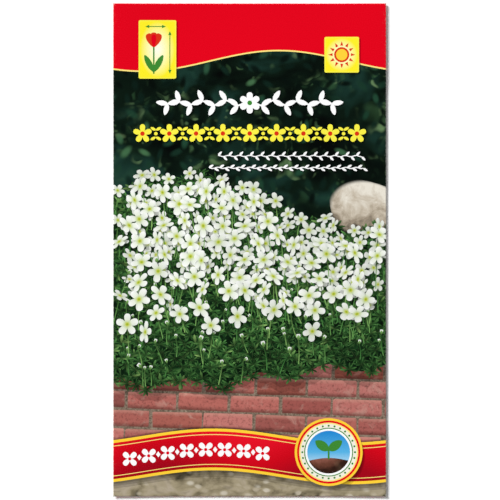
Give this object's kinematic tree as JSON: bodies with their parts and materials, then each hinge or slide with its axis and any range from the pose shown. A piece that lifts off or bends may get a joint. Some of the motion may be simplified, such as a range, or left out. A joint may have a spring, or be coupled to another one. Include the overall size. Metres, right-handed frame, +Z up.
{
  "type": "seed packet",
  "caption": "Flat folded paper packet with a printed front, glued behind, holding a small sleeve of fine flower seed.",
  "frame": {"origin": "on the surface the packet lies on, under the middle of its outline", "axes": "+Z up out of the printed front, +Y towards the packet's top, +X to the right as the front is read"},
  "size_m": [0.09, 0.1626, 0.0027],
  "materials": {
    "printed_paper": "satin coated, printed",
    "dried_glue": "dull, slightly yellowed",
    "glassine": "smooth, half clear",
    "seed_coat": "matt, dark brown"
  },
  "bodies": {
    "root": {"envelope": "printed_paper", "seam_glue": "dried_glue", "bottom_flap_glue": "dried_glue", "top_flap_glue": "dried_glue", "inner_sleeve": "glassine", "seeds": "seed_coat"}
  },
  "joints": []
}
